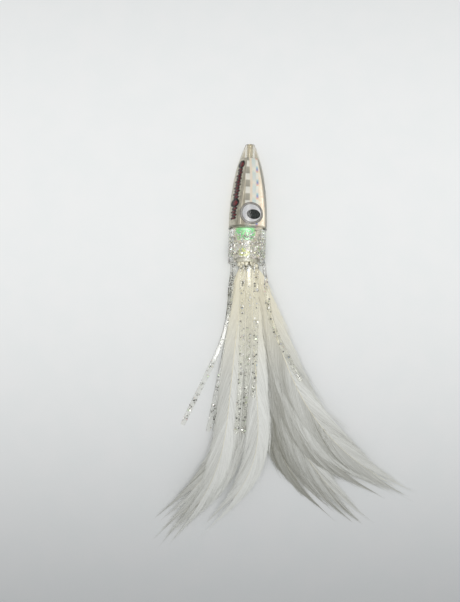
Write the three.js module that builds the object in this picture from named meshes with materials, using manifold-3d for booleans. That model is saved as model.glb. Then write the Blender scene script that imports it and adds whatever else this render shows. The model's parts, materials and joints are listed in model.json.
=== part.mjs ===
// A skirted feather lure with a cast bullet head, lying on its belly.
// Millimetres, +Y towards the nose and +Z up, origin under the middle of the part.
import * as THREE from 'three';
import { mergeVertices } from 'three/addons/utils/BufferGeometryUtils.js';
import Module from 'manifold-3d';

// Head, measured along its own axis from the rear rim, positive towards the nose.
const headLean = THREE.MathUtils.degToRad(4);
const headTurn = THREE.MathUtils.degToRad(1.85);
const headShift = -0.5;
const noseStation = 43.4;
const headProfile = [
  [43.4, 2.3], [40.3, 3.55], [36.2, 5], [30.1, 6.75], [22.6, 8.15],
  [15, 9.1], [8.4, 9.55], [3, 9.7], [0.5, 9.75], [0, 9.45],
];
const spigotRadius = 6.5;
const spigotEnd = -12;
const postRadius = 3.3;
const postEnd = -18;
const boreRadius = 1.8;
const headSides = 48;

// The four-sided insert that the eyes and foils sit on: station, half width and half depth.
const insertRoll = 23;
const insertProfile = [
  [0.9, 6.05, 4.1], [7, 6, 4.1], [14.5, 5.15, 4.15], [22.5, 4.25, 4.05], [30, 3.05, 3.15], [35.8, 2.15, 2.2],
];
const foilStart = 0.2;
const foilEnd = 0.45;
const pocketGap = 0.65;

// Eyes.
const eyeStation = 7.2;
const eyeRadius = 5.3;
const eyeCupHeight = 0.85;
const pupilRadius = 2.7;
const pupilOval = [1.14, 0.88];
const eyeAside = -0.9;
const pupilShift = [1.05, -0.5];
const eyeDomeHeight = 1;
const eyeSides = 28;

// Leader tube, film, thread and quill butts.
const tubeOuter = 1.5;
const tubeInner = 1;
const tubeEnd = -19.4;
const filmInner = 6.7;
const filmOuter = 6.95;
const filmRear = -14.8;
const buttInner = 3.6;
const buttOuter = 4.7;
const threadInner = 5;
const threadOuter = 5.5;
const threadTurns = 7;

// Hood of the skirt.
const hoodFront = -0.6;
const hoodRear = -17.5;
const hoodOuter = 9.4;
const hoodInner = 7.25;
const hoodLipInner = 8.4;

// Legs and feathers leave the hood behind this vertical pivot axis.
const pivotY = -17;
const rootReach = 4;
const legStart = 19.5;
const legWidth = 2.6;
const legThickness = 0.7;
const legSteps = 22;
const featherStart = 20.5;
const featherThickness = 0.3;
const featherSteps = 30;
const quillWidth = 1.1;
const tipWidth = 0.8;

// Heights above the table. Each run falls from its root to a layer, then sags to the table.
const runs = {
  leg: { fall: 29, sagStart: 50, sagEnd: 90 },
  centreLeg: { fall: 62, sagStart: 200, sagEnd: 230 },
  left: { fall: 45, sagStart: 112, sagEnd: 145 },
  right: { fall: 45, sagStart: 92, sagEnd: 125 },
};

// name, run, x at the root, root height, layer height, end height,
// length, first heading, last heading, share of the length where the turn starts and ends
const legs = [
  ['skirt_leg_left_outer', 'leg', -8.3, 13.6, 3.2, 0.3, 86.5, -4, -26, 0.15, 0.6],
  ['skirt_leg_left_1', 'leg', -8.9, 11, 2.2, 2.2, 85.5, -2, -12, 0.2, 0.6],
  ['skirt_leg_left_2', 'leg', -8.2, 8.3, 1.25, 1.25, 85.5, 0, -12, 0.25, 0.7],
  ['skirt_leg_left_3', 'leg', -7, 6, 0.3, 0.3, 82, -1, -12, 0.2, 0.6],
  ['skirt_leg_under_1', 'leg', -3.9, 3.4, 0.3, 0.3, 80, 0, -8, 0.2, 0.6],
  ['skirt_leg_under_2', 'leg', -0.9, 2.7, 0.3, 0.3, 82, 0, -5, 0.2, 0.6],
  ['skirt_leg_under_3', 'leg', 1.4, 3.7, 1.25, 1.25, 82, 1, 7, 0.2, 0.6],
  ['skirt_leg_under_4', 'leg', 4.3, 4.4, 1.25, 1.25, 82, 2, 12, 0.2, 0.6],
  ['skirt_leg_right_1', 'centreLeg', 8.3, 13.6, 7.1, 7.1, 62, 3, 29, 0.1, 0.75],
  ['skirt_leg_right_2', 'leg', 7.2, 7.4, 0.3, 0.3, 88, 2, 17, 0.1, 0.6],
  ['skirt_leg_centre_1', 'centreLeg', -3.4, 18.6, 8.9, 8.9, 84.5, 0, -5, 0.3, 0.9],
  ['skirt_leg_centre_2', 'centreLeg', 0, 19.4, 8.9, 8.9, 84.5, 0, -5, 0.3, 0.9],
  ['skirt_leg_centre_3', 'centreLeg', 3.5, 18.6, 8.9, 8.9, 66, 0, -5, 0.38, 1.15],
];

// The same, with the widest part of the vane last.
const feathers = [
  ['hackle_left_1', 'left', -4.26, 11.9, 6.3, 0.3, 148, -1, -40, 0.4, 0.9, 12],
  ['hackle_left_2', 'left', -4.03, 12.8, 6.8, 0.8, 146, -1, -44, 0.35, 0.95, 12],
  ['hackle_left_3', 'left', -3.57, 13.7, 7.3, 1.3, 137, -1, -48, 0.35, 0.95, 11],
  ['hackle_left_4', 'left', -2.76, 14.6, 7.8, 1.8, 140, -6, -38, 0.5, 1, 11],
  ['hackle_left_5', 'left', 0.9, 15.5, 8.3, 2.3, 138, 3, -42, 0.5, 0.95, 11],
  ['hackle_right_1', 'right', -0.9, 7.1, 3.2, 0.3, 130, 9, 52, 0.5, 1.1, 12],
  ['hackle_right_2', 'right', -2.5, 7.8, 3.7, 0.8, 140, 12, 51, 0.33, 1.1, 12],
  ['hackle_right_3', 'right', 3.3, 8.6, 4.2, 1.3, 142.5, 10, 56, 0.2, 1.25, 13],
  ['hackle_right_4', 'right', 3.86, 9.4, 4.7, 1.8, 134.5, 13.5, 62, 0.37, 1, 13],
  ['hackle_right_5', 'right', 4.15, 10.2, 5.2, 2.3, 136.5, 15.5, 61.5, 0.33, 0.97, 12],
  ['hackle_right_6', 'right', 4.28, 10.9, 5.7, 2.8, 141, 17, 64, 0.19, 1.1, 13],
];

const wasm = await Module();
wasm.setup();

function solidFrom(geometry) {
  geometry.deleteAttribute('normal');
  geometry.deleteAttribute('uv');
  const merged = mergeVertices(geometry, 1e-4);
  return new wasm.Manifold(new wasm.Mesh({
    numProp: 3,
    vertProperties: merged.attributes.position.array,
    triVerts: merged.index.array,
  }));
}

function geometryFrom(solid) {
  const mesh = solid.getMesh();
  const geometry = new THREE.BufferGeometry();
  geometry.setAttribute('position', new THREE.BufferAttribute(mesh.vertProperties, 3));
  geometry.setIndex(new THREE.BufferAttribute(mesh.triVerts, 1));
  return geometry;
}

// A solid of revolution about Y from [station, radius] pairs, listed from front to rear.
function turned(profile, sides) {
  const points = profile.map(([station, radius]) => new THREE.Vector2(radius, station));
  points.reverse();
  return new THREE.LatheGeometry(points, sides);
}

function ring(front, rear, inner, outer, sides) {
  return turned([[front, inner], [front, outer], [rear, outer], [rear, inner], [front, inner]], sides);
}

const group = new THREE.Group();

// The axis height at which the leaning head's belly just touches the table.
const restHeight = Math.max(...headProfile.map(
  ([station, radius]) => station * Math.sin(headLean) + radius * Math.cos(headLean),
));
const head = new THREE.Group();
head.position.set(headShift, 0, restHeight);
head.rotation.set(-headLean, 0, -headTurn, 'ZXY');
group.add(head);

function addPiece(parent, name, geometry, look) {
  const piece = new THREE.Mesh(geometry, new THREE.MeshStandardMaterial(look));
  piece.name = name;
  parent.add(piece);
  return piece;
}

const resin = { color: 0xd9d6cc, roughness: 0.06, metalness: 0, transparent: true, opacity: 0.35 };
const foil = { color: 0xd8dade, roughness: 0.2, metalness: 1 };
const decal = { color: 0x6e1a22, roughness: 0.45, metalness: 0 };
const white = { color: 0xe6e6ea, roughness: 0.3, metalness: 0 };
const black = { color: 0x15171a, roughness: 0.2, metalness: 0 };
const vinyl = { color: 0xd4d2c6, roughness: 0.15, metalness: 0, transparent: true, opacity: 0.5 };
const feather = { color: 0xc2c2bb, roughness: 0.8, metalness: 0 };

// A block along the insert: limitsAt gives its x and z limits from the insert's half width and depth.
function insertBlock(limitsAt, stretch = 0) {
  const rows = insertProfile.length - 1;
  const geometry = new THREE.BoxGeometry(2, rows, 2, 1, rows, 1);
  const position = geometry.attributes.position;
  for (let i = 0; i < position.count; i += 1) {
    const row = Math.round(position.getY(i) + rows / 2);
    const [station, halfWidth, halfDepth] = insertProfile[row];
    const [left, right, low, high] = limitsAt(halfWidth, halfDepth);
    const end = row === 0 ? -stretch : stretch;
    const y = row === 0 || row === rows ? station + end : station;
    position.setXYZ(i, position.getX(i) < 0 ? left : right, y, position.getZ(i) < 0 ? low : high);
  }
  return geometry.rotateY(THREE.MathUtils.degToRad(insertRoll));
}

function insertSolid(offset, stretch) {
  return solidFrom(insertBlock((w, d) => [-w - offset, w + offset, -d - offset, d + offset], stretch));
}

function boreSolid(radius) {
  const length = 80;
  const geometry = new THREE.CylinderGeometry(radius, radius, length, 16);
  geometry.translate(0, 10, 0);
  return solidFrom(geometry);
}

// Turns a shape drawn for the face that looks straight up to the face at this angle.
function faceTurned(geometry, degrees) {
  return geometry.rotateY(THREE.MathUtils.degToRad(degrees));
}

const sides = [
  { name: 'right', angle: insertRoll },
  { name: 'left', angle: insertRoll + 180 },
];

const seatHeight = insertProfile[1][2] + pocketGap;
const eyeTop = seatHeight + eyeCupHeight + eyeDomeHeight;
function eyeDisc(radius, bottom, top, shift = [0, 0], oval = [1, 1]) {
  const geometry = new THREE.CylinderGeometry(radius, radius, top - bottom, eyeSides);
  geometry.rotateX(Math.PI / 2);
  geometry.scale(oval[0], oval[1], 1);
  geometry.translate(eyeAside + shift[0], eyeStation + shift[1], (bottom + top) / 2);
  return geometry;
}

// A disc with straight sides up to its shoulder and a domed top.
function eyeDome(radius, bottom, shoulder, top) {
  const rows = 5;
  const dome = [];
  for (let row = 0; row <= rows; row += 1) {
    const turn = (row / rows) * Math.PI / 2;
    dome.push([shoulder + (top - shoulder) * Math.cos(turn), radius * Math.sin(turn)]);
  }
  if (bottom < shoulder) {
    dome.push([bottom, radius]);
  }
  dome.push([bottom, 0]);
  const geometry = turned(dome, eyeSides);
  geometry.rotateX(Math.PI / 2);
  geometry.translate(eyeAside, eyeStation, 0);
  return geometry;
}

const headOutline = [
  [noseStation, 0],
  ...headProfile,
  [0, spigotRadius],
  [spigotEnd, spigotRadius],
  [spigotEnd, postRadius],
  [postEnd, postRadius],
  [postEnd, 0],
];
let casting = solidFrom(turned(headOutline, headSides));
casting = casting.subtract(boreSolid(boreRadius));
casting = casting.subtract(insertSolid(pocketGap, 0.3));
// Each eye's recess reaches from inside the pocket to just past the top of the eye.
const eyeGap = 0.25;
for (const side of sides) {
  const shoulder = seatHeight + eyeCupHeight + eyeGap;
  const recess = eyeDome(eyeRadius + eyeGap, boreRadius + 1, shoulder, eyeTop + eyeGap);
  casting = casting.subtract(solidFrom(faceTurned(recess, side.angle)));
}
addPiece(head, 'head_body', geometryFrom(casting), resin);

const core = insertSolid(0, 0).subtract(boreSolid(boreRadius));
addPiece(head, 'insert_core', geometryFrom(core), white);

// Each face carries its own sheet, just off the core.
const rightFlank = insertBlock((w, d) => [-w, w, d + foilStart, d + foilEnd]);
const belly = insertBlock((w, d) => [w + foilStart, w + foilEnd, -d, d]);
const leftFlank = insertBlock((w, d) => [-w, w, -d - foilEnd, -d - foilStart]);
const back = insertBlock((w, d) => [-w - foilEnd, -w - foilStart, -d, d]);
addPiece(head, 'flank_foil_right', rightFlank, foil);
addPiece(head, 'belly_foil', belly, foil);
addPiece(head, 'flank_foil_left', leftFlank, foil);
addPiece(head, 'back_strip', back, decal);

// Each eye is a dished white cup, a pupil disc in it and a clear dome over both.
const cupFloor = 0.35;
const cupRim = 0.5;
for (const side of sides) {
  const cupTop = seatHeight + eyeCupHeight;
  const dish = solidFrom(eyeDisc(eyeRadius - cupRim, seatHeight + cupFloor, cupTop + 1));
  const cup = solidFrom(eyeDisc(eyeRadius, seatHeight, cupTop)).subtract(dish);
  const cupPiece = geometryFrom(cup);
  addPiece(head, `eye_cup_${side.name}`, faceTurned(cupPiece, side.angle), white);

  const pupilBottom = seatHeight + cupFloor + 0.15;
  const pupil = eyeDisc(pupilRadius, pupilBottom, pupilBottom + 0.3, pupilShift, pupilOval);
  addPiece(head, `eye_pupil_${side.name}`, faceTurned(pupil, side.angle), black);

  const lens = eyeDome(eyeRadius, cupTop + 0.15, cupTop + 0.15, eyeTop);
  addPiece(head, `eye_lens_${side.name}`, faceTurned(lens, side.angle), resin);
}

addPiece(head, 'leader_tube', ring(noseStation, tubeEnd, tubeInner, tubeOuter, 16), vinyl);
addPiece(head, 'pearl_wrap', ring(-0.4, filmRear, filmInner, filmOuter, 40), foil);

// Quill butts are tied in a fluted ring around the post.
const buttCount = 11;
const flute = 0.2;
const butts = ring(spigotEnd - 0.6, postEnd - 1, buttInner, buttOuter, buttCount * 4);
const buttPosition = butts.attributes.position;
for (let i = 0; i < buttPosition.count; i += 1) {
  const x = buttPosition.getX(i);
  const z = buttPosition.getZ(i);
  const radius = Math.hypot(x, z);
  if (radius > (buttInner + buttOuter) / 2) {
    const step = Math.round(Math.atan2(x, z) / (2 * Math.PI) * buttCount * 4);
    const grown = radius - flute + flute * Math.cos(step * Math.PI / 2);
    buttPosition.setX(i, x * grown / radius);
    buttPosition.setZ(i, z * grown / radius);
  }
}
addPiece(head, 'quill_butts', butts, feather);

// The whipping is a ribbed sleeve, one rib for each turn of thread.
const whipping = [[-13, threadInner]];
for (let turn = 0; turn < threadTurns; turn += 1) {
  const pitch = 4 / threadTurns;
  whipping.push([-13 - turn * pitch, threadOuter - 0.15]);
  whipping.push([-13 - (turn + 0.5) * pitch, threadOuter]);
}
whipping.push([-17, threadOuter - 0.15], [-17, threadInner], [-13, threadInner]);
addPiece(head, 'whipping_thread', turned(whipping, 32), white);

const hood = [
  [hoodFront, hoodInner],
  [hoodFront, hoodOuter - 0.3],
  [hoodFront - 0.3, hoodOuter],
  [hoodRear, hoodOuter],
  [hoodRear, hoodLipInner],
  [spigotEnd - 2, hoodLipInner],
  [spigotEnd, hoodInner],
  [hoodFront, hoodInner],
];
addPiece(head, 'skirt_hood', turned(hood, 40), vinyl);

function eased(value) {
  const share = Math.min(1, Math.max(0, value));
  return share * share * (3 - 2 * share);
}

// Underside height of a strand at a distance from the pivot, so layers never cross as they swing.
function layerHeight(x, y, run, root, layer, end) {
  const reach = Math.hypot(x, y - pivotY);
  const above = (root - layer) * (1 - eased((reach - rootReach) / (run.fall - rootReach)));
  const below = (layer - end) * eased((reach - run.sagStart) / (run.sagEnd - run.sagStart));
  return layer + above - below;
}

// Centre line of a strand: its heading eases from the first to the last along its length.
function centreLine(startX, startY, length, first, last, turnStart, turnEnd, steps) {
  const line = [];
  let x = startX;
  let y = startY;
  for (let step = 0; step <= steps; step += 1) {
    const middle = (step + 0.5) / steps;
    const turn = eased((middle - turnStart) / (turnEnd - turnStart));
    const heading = THREE.MathUtils.degToRad(first + (last - first) * turn);
    const stretch = length / steps;
    line.push({ x, y, acrossX: Math.cos(heading), acrossY: Math.sin(heading) });
    x += Math.sin(heading) * stretch;
    y -= Math.cos(heading) * stretch;
  }
  return line;
}

// A flat strip laid along the centre line, widthAt giving its width at a share of the length.
function strip(line, widthAt, thickness, cells, heightAt) {
  const steps = line.length - 1;
  const geometry = new THREE.BoxGeometry(1, steps, 1, cells, steps, 1);
  const position = geometry.attributes.position;
  for (let i = 0; i < position.count; i += 1) {
    const step = Math.round(steps / 2 - position.getY(i));
    const spot = line[step];
    const across = position.getX(i) * widthAt(step / steps);
    const x = spot.x + spot.acrossX * across;
    const y = spot.y + spot.acrossY * across;
    const lift = (position.getZ(i) + 0.5) * thickness;
    position.setXYZ(i, x, y, heightAt(x, y) + lift);
  }
  return geometry;
}

for (const row of legs) {
  const [name, runName, startX, root, layer, end, length, first, last, turnStart, turnEnd] = row;
  const line = centreLine(startX, -legStart, length, first, last, turnStart, turnEnd, legSteps);
  const heightAt = (x, y) => layerHeight(x, y, runs[runName], root, layer, end);
  const piece = strip(line, () => legWidth, legThickness, 1, heightAt);
  addPiece(group, name, piece, vinyl);
}

for (const row of feathers) {
  const [name, runName, startX, root, layer, end, length, first, last, turnStart, turnEnd, width] = row;
  const line = centreLine(startX, -featherStart, length, first, last, turnStart, turnEnd, featherSteps);
  const heightAt = (x, y) => layerHeight(x, y, runs[runName], root, layer, end);
  const vane = (share) => {
    const opened = quillWidth + (width - quillWidth) * eased((share - 0.05) / 0.45);
    return tipWidth + (opened - tipWidth) * (1 - eased((share - 0.72) / 0.28));
  };
  addPiece(group, name, strip(line, vane, featherThickness, 2, heightAt), feather);
}

// Move the origin under the middle of the finished part.
const box = new THREE.Box3().setFromObject(group, true);
group.position.set(-(box.min.x + box.max.x) / 2, -(box.min.y + box.max.y) / 2, -box.min.z);

export default group;
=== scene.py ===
"""A skirted feather lure with a clear cast head, lying on a pale studio floor.

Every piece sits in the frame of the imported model. Sizes and places are in millimetres until a mesh is made.
"""

import json
import logging
import math
import random
from dataclasses import dataclass, field
from enum import Enum
from typing import Sequence

import bmesh
import bpy
import numpy as np
from mathutils import Matrix, Vector


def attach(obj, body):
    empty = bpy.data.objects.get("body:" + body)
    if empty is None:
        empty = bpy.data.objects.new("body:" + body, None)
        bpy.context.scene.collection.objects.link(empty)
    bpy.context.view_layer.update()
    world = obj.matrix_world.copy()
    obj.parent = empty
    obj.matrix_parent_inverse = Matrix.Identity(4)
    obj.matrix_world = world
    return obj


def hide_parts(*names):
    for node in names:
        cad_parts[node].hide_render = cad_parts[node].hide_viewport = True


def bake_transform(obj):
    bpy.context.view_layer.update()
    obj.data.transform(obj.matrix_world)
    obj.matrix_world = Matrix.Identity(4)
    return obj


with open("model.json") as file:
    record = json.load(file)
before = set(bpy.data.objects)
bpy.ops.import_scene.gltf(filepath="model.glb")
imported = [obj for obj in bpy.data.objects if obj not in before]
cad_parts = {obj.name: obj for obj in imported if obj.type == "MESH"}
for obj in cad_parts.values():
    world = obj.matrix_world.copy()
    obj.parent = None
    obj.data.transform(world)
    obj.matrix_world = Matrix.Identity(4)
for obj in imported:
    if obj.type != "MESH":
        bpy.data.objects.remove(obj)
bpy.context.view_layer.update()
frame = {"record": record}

logging.basicConfig(level=logging.INFO, format="%(message)s")
LOG = logging.getLogger("lure")

MM = 0.001
MERGE = 0.001 * MM

Tree = bpy.types.NodeTree
Node = bpy.types.Node
Piece = bpy.types.Object
Mesh = bpy.types.Mesh
Point = tuple[float, float]
Spot = tuple[float, float, float]
Stops = Sequence[tuple[float, str]]


# ---------------------------------------------------------------- colours and nodes


def linear(hex_colour: str) -> tuple[float, float, float, float]:
    """Turn an sRGB hex colour into a linear colour.

    Args:
        hex_colour: Six hex digits.

    Returns:
        Red, green, blue and a full alpha.
    """
    shares = [int(hex_colour[i : i + 2], 16) / 255 for i in (0, 2, 4)]
    turned = [c / 12.92 if c <= 0.04045 else ((c + 0.055) / 1.055) ** 2.4 for c in shares]
    return (*turned, 1.0)


def add_node(
    tree: Tree,
    kind: str,
    inputs: dict[str | int, object] | None = None,
    stops: Stops = (),
    **settings: object,
) -> Node:
    """Add one node with its settings, values and links.

    Args:
        tree: The node tree it goes into.
        kind: The node's type name after its first word, ShaderNode.
        inputs: What goes into its inputs, by name or index: a value, an output or a node's first output.
        stops: A colour ramp's positions and hex colours, from low to high.
        settings: The node's own properties.

    Returns:
        The new node.
    """
    node = tree.nodes.new("ShaderNode" + kind)
    for name, value in settings.items():
        setattr(node, name, value)
    for name, value in (inputs or {}).items():
        given = value.outputs[0] if isinstance(value, Node) else value
        if isinstance(given, bpy.types.NodeSocket):
            tree.links.new(given, node.inputs[name])
        else:
            node.inputs[name].default_value = given
    for number, (place, colour) in enumerate(stops):
        elements = node.color_ramp.elements
        element = elements[number] if number < 2 else elements.new(place)
        element.position = place
        element.color = linear(colour)
    return node


class Finish:
    """A material that is made once and shared by the pieces that wear it."""

    name: str

    def shade(self, tree: Tree) -> Node:
        """Build the shader and return its last node."""
        raise NotImplementedError

    def material(self) -> bpy.types.Material:
        """Make the finish's material on its first use.

        Returns:
            The material.
        """
        made = bpy.data.materials.get(self.name)
        if made is None:
            made = bpy.data.materials.new(self.name)
            made.use_nodes = True
            tree = made.node_tree
            tree.nodes.clear()
            add_node(tree, "OutputMaterial", {"Surface": self.shade(tree)})
        return made


@dataclass(frozen=True)
class ClearResin(Finish):
    """Clear polyester casting resin, polished: bright, with thin dark edges where it bends light."""

    name: str = "clear cast resin"
    tint: str = "f7f4ec"
    ior: float = 1.5
    roughness: float = 0.015
    specular: float = 0.3
    marks_per_mm: float = 0.35
    mark_strength: float = 0.02
    mark_depth: float = 0.05

    def shade(self, tree: Tree) -> Node:
        """Build the clear shader, which lets light pass once, so that what it holds is evenly lit.

        Args:
            tree: The material's node tree.

        Returns:
            The shader's last node.
        """
        place = add_node(tree, "TexCoord").outputs["Object"]
        marks = add_node(tree, "TexNoise", {"Vector": place, "Scale": self.marks_per_mm / MM})
        relief = {"Height": marks, "Strength": self.mark_strength, "Distance": self.mark_depth * MM}
        clear = {
            "Base Color": linear(self.tint),
            "Transmission Weight": 1.0,
            "IOR": self.ior,
            "Specular IOR Level": self.specular,
            "Roughness": self.roughness,
            "Normal": add_node(tree, "Bump", relief),
        }
        mixed = add_node(tree, "BsdfPrincipled", clear)
        path = add_node(tree, "LightPath")
        passing = add_node(tree, "BsdfTransparent", {"Color": linear(self.tint)})
        for ray in ("Is Shadow Ray", "Is Diffuse Ray"):
            mixed = add_node(tree, "MixShader", {0: path.outputs[ray], 1: mixed, 2: passing})
        return mixed


@dataclass(frozen=True)
class SoftVinyl(ClearResin):
    """Clear soft PVC, moulded: glossy, with sink marks about 1.5 mm apart, so its edges draw dark lines."""

    name: str = "clear soft vinyl"
    tint: str = "fcfcfa"
    ior: float = 1.45
    roughness: float = 0.03
    specular: float = 0.5
    marks_per_mm: float = 0.65
    mark_strength: float = 0.2
    mark_depth: float = 0.2


@dataclass(frozen=True)
class PrismFoil(Finish):
    """Stamped prism foil on film: a column of squares in painted white and grey flashes, then painted pastel
    glints, then cream, with a column of painted shadow beyond the squares.
    """

    name: str = "stamped prism foil"
    square: float = 3.45
    soft_edge: float = 0.28
    blotches_per_mm: float = 0.55

    def column(self, tree: Tree, side: bpy.types.NodeSocket, low: float, high: float) -> Node:
        """Mark a soft-edged column along the strip.

        Args:
            tree: The node tree.
            side: Millimetres across the strip.
            low: Where the column starts.
            high: Where it ends.

        Returns:
            A node that gives one inside the column and zero outside.
        """
        edges = []
        for at, start in ((low, 0.0), (high, 1.0)):
            reach = {"From Min": at - self.soft_edge, "From Max": at + self.soft_edge}
            rise = {"To Min": start, "To Max": 1.0 - start}
            edges.append(
                add_node(tree, "MapRange", {"Value": side, **reach, **rise}, interpolation_type="SMOOTHSTEP")
            )
        return add_node(tree, "Math", dict(enumerate(edges)), operation="MULTIPLY")

    def shade(self, tree: Tree) -> Node:
        """Lay the columns of colour over a warm ground; painted reflection and painted shadow are among them.

        Args:
            tree: The material's node tree.

        Returns:
            The shader's last node.
        """
        flat = add_node(tree, "UVMap", uv_map="flat_mm")
        apart = add_node(tree, "SeparateXYZ", {0: flat})
        side, along = apart.outputs[0], apart.outputs[1]
        # Rows take turns: one has a painted white flash, the next a painted grey reflection with a painted
        # glint.
        rows = add_node(tree, "Math", {0: along, 1: self.square * 2}, operation="DIVIDE")
        phase = add_node(tree, "Math", {0: rows}, operation="FRACT")
        blotch = add_node(tree, "TexNoise", {"Vector": flat, "Scale": self.blotches_per_mm, "Detail": 1.0})
        warm = [(0.35, "fffcf0"), (0.5, "fff6e8"), (0.62, "fce8d6"), (0.7, "fffaec")]
        # The glints, the squares' white and grey flashes and the last column's shadow are painted reflection
        # and painted shade.
        painted_glints = [(0.04, "fafcfc"), (0.12, "fdd3b4"), (0.22, "cbb0dc")]
        painted_glints += [(0.32, "98aee4"), (0.46, "b9e2f2"), (0.6, "fafcfc")]
        centre = [(0.0, "e2f1f6"), (0.3, "fefdf8"), (0.6, "eaf3f8"), (1.0, "e2f1f6")]
        amber = [(0.35, "fdeee0"), (0.55, "fbf4ea"), (0.7, "fdf4ea")]
        squares_and_painted_flashes = [(0.0, "a5a39c"), (0.08, "b2b0a9"), (0.42, "bebcb5")]
        squares_and_painted_flashes += [(0.52, "ffffff"), (0.92, "f4f6f6"), (1.0, "a5a39c")]
        shadow = [(0.0, "a9a59a"), (0.5, "c4c0b4"), (1.0, "a9a59a")]
        columns = (
            (-2.3, -1.25, phase, painted_glints),
            (-1.25, 0.45, phase, centre),
            (0.45, 1.5, blotch, amber),
            (1.5, 3.7, phase, squares_and_painted_flashes),
            (3.7, 8.0, phase, shadow),
        )
        colour = add_node(tree, "ValToRGB", {0: blotch}, warm).outputs[0]
        for low, high, source, stops in columns:
            over = add_node(tree, "ValToRGB", {0: source}, stops)
            share = self.column(tree, side, low, high)
            colour = add_node(tree, "Mix", {0: share, 6: colour, 7: over}, data_type="RGBA").outputs[2]
        relief = add_node(tree, "Bump", {"Height": phase, "Strength": 0.15, "Distance": 0.1 * MM})
        coat = {"Base Color": colour, "Metallic": 0.2, "Roughness": 0.32, "Normal": relief}
        return add_node(tree, "BsdfPrincipled", coat)


@dataclass(frozen=True)
class Painted(Finish):
    """A plain coating with fine grain, glossy or satin by its roughness."""

    name: str
    colour: str
    second: str
    roughness: float
    metallic: float = 0.0
    grains_per_mm: float = 0.9
    grain_depth: float = 0.05

    def shade(self, tree: Tree) -> Node:
        """Mix the coating's two tones by its grain.

        Args:
            tree: The material's node tree.

        Returns:
            The shader's last node.
        """
        place = add_node(tree, "TexCoord").outputs["Object"]
        grain = add_node(tree, "TexNoise", {"Vector": place, "Scale": self.grains_per_mm / MM})
        relief = {"Height": grain, "Strength": 0.1, "Distance": self.grain_depth * MM}
        coat = {
            "Base Color": add_node(tree, "ValToRGB", {0: grain}, [(0.35, self.colour), (0.65, self.second)]),
            "Metallic": self.metallic,
            "Roughness": self.roughness,
            "Normal": add_node(tree, "Bump", relief),
        }
        return add_node(tree, "BsdfPrincipled", coat)


@dataclass(frozen=True)
class PearlFilm(Finish):
    """Iridescent film: mostly silver and rose, with green patches at its front and one of lime."""

    name: str = "iridescent film"
    patches_per_mm: float = 0.33
    crinkles_per_mm: float = 0.42

    def shade(self, tree: Tree) -> Node:
        """Colour the film by its two patch attributes, made uneven.

        Args:
            tree: The material's node tree.

        Returns:
            The shader's last node.
        """
        place = add_node(tree, "TexCoord").outputs["Object"]
        patches = {"Vector": place, "Scale": self.patches_per_mm / MM, "Detail": 1.0}
        blotch = add_node(tree, "TexNoise", patches)
        uneven = add_node(tree, "Math", {0: blotch, 1: 0.9, 2: -0.45}, operation="MULTIPLY_ADD")
        green, lime = (
            add_node(
                tree,
                "Math",
                {0: add_node(tree, "Attribute", attribute_name=name).outputs["Fac"], 1: uneven},
                operation="ADD",
            )
            for name in ("green", "lime")
        )
        silver_to_green = [(0.2, "ebe6dc"), (0.36, "f6e6df"), (0.48, "d6f9c2")]
        silver_to_green += [(0.62, "a2f5ae"), (0.85, "90f3a4"), (1.0, "b4fbbe")]
        layers = {
            0: add_node(tree, "ValToRGB", {0: lime}, [(0.35, "000000"), (0.55, "ffffff")]),
            6: add_node(tree, "ValToRGB", {0: green}, silver_to_green),
            7: add_node(tree, "ValToRGB", {0: lime}, [(0.3, "c9f08f"), (0.6, "eef57f"), (1.0, "f4f7a0")]),
        }
        crinkle = add_node(tree, "TexVoronoi", {"Vector": place, "Scale": self.crinkles_per_mm / MM})
        coat = {
            "Base Color": add_node(tree, "Mix", layers, data_type="RGBA").outputs[2],
            "Metallic": 0.12,
            "Roughness": 0.45,
            "Normal": add_node(tree, "Bump", {"Height": crinkle, "Strength": 0.5, "Distance": 0.2 * MM}),
        }
        return add_node(tree, "BsdfPrincipled", coat)


@dataclass(frozen=True)
class GlitterFlake(Finish):
    """Cut aluminised polyester glitter: each flake's colour is a painted flash, white, grey, near black or a
    faint tint.
    """

    name: str = "silver glitter"

    def shade(self, tree: Tree) -> Node:
        """Colour each flake by its painted flash.

        Args:
            tree: The material's node tree.

        Returns:
            The shader's last node.
        """
        tone_and_painted_light = add_node(tree, "Attribute", attribute_name="tone_and_painted_light").outputs["Fac"]
        # Painted flashes: each flake's value picks near black, grey, white or a faint tint in place of its
        # reflection.
        painted_flash_greys = [(0.0, "5c5c59"), (0.12, "8f8e87"), (0.3, "cfcec8"), (0.6, "ffffff")]
        painted_flash_tints = [(0.78, "fdf3ea"), (0.88, "d7f2c4"), (0.94, "f6d9d0"), (1.0, "cfe3f6")]
        colour = add_node(tree, "ValToRGB", {0: tone_and_painted_light}, painted_flash_greys + painted_flash_tints)
        return add_node(tree, "BsdfPrincipled", {"Base Color": colour, "Metallic": 0.35, "Roughness": 0.3})


@dataclass(frozen=True)
class HackleBarb(Finish):
    """Bleached cock hackle: soft keratin that light shines through, cream where it grows from the quill."""

    name: str = "bleached hackle"
    white: str = "fafbf7"
    shadow: str = "98978a"
    cream: str = "f8f2dc"
    glow: float = 0.15

    def shade(self, tree: Tree) -> Node:
        """Colour each barb by its level, which carries painted shade and painted light, and by how near it is
        to the quill's root.

        Args:
            tree: The material's node tree.

        Returns:
            The shader's last node.
        """
        tone_and_painted_light, root = (
            add_node(tree, "Attribute", attribute_name=name).outputs["Fac"] for name in ("tone_and_painted_light", "cream")
        )
        plain = add_node(tree, "ValToRGB", {0: tone_and_painted_light}, [(0.0, self.shadow), (1.0, self.white)])
        layers = {0: root, 6: plain, 7: linear(self.cream)}
        colour = add_node(tree, "Mix", layers, data_type="RGBA").outputs[2]
        coat = {"Base Color": colour, "Roughness": 0.55, "Sheen Weight": 0.15}
        front = add_node(tree, "BsdfPrincipled", coat)
        back = add_node(tree, "BsdfTranslucent", {"Color": colour})
        return add_node(tree, "MixShader", {0: self.glow, 1: front, 2: back})


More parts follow.
